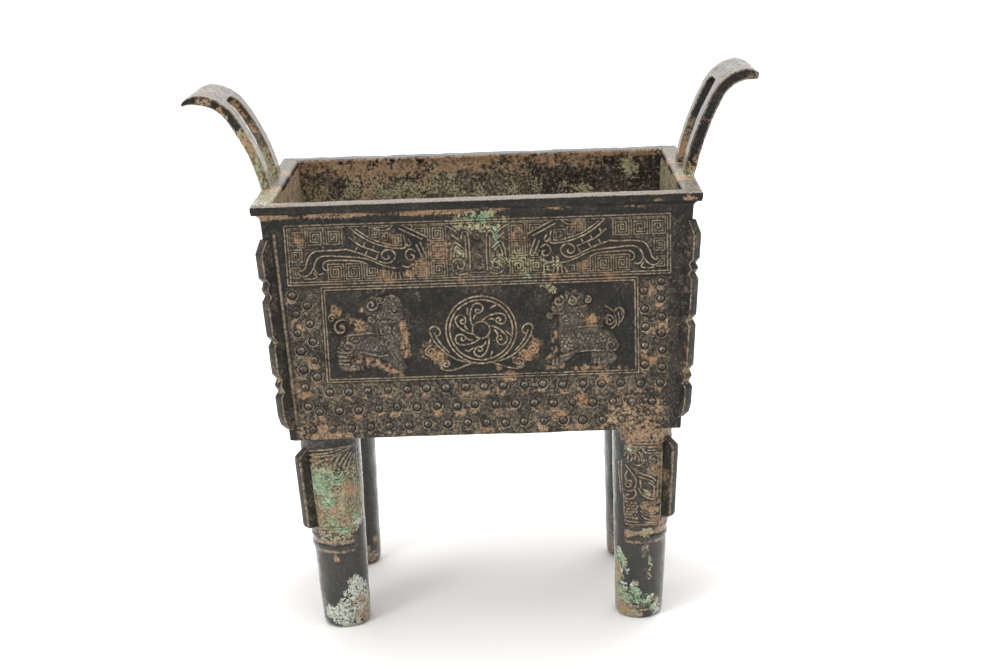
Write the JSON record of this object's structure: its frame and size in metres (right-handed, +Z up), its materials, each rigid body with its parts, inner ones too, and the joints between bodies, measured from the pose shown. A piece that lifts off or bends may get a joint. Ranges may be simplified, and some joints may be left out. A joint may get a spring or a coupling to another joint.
{
  "type": "square bronze ding",
  "caption": "Square ritual cauldron of patinated bronze: a hollow rectangular box with a flat rim, hooked strap handles, corner flanges, low relief and column legs.",
  "frame": {"origin": "on the plane of the feet, under the middle of the whole outline", "axes": "+X along the long side from handle to handle, +Y from front to back, +Z up"},
  "size_m": [0.3978, 0.1954, 0.3833],
  "materials": {
    "bronze": "dark olive-brown patina, satin, with tan earth in the recesses"
  },
  "bodies": {
    "root": {"square_ding": "bronze"}
  },
  "joints": []
}
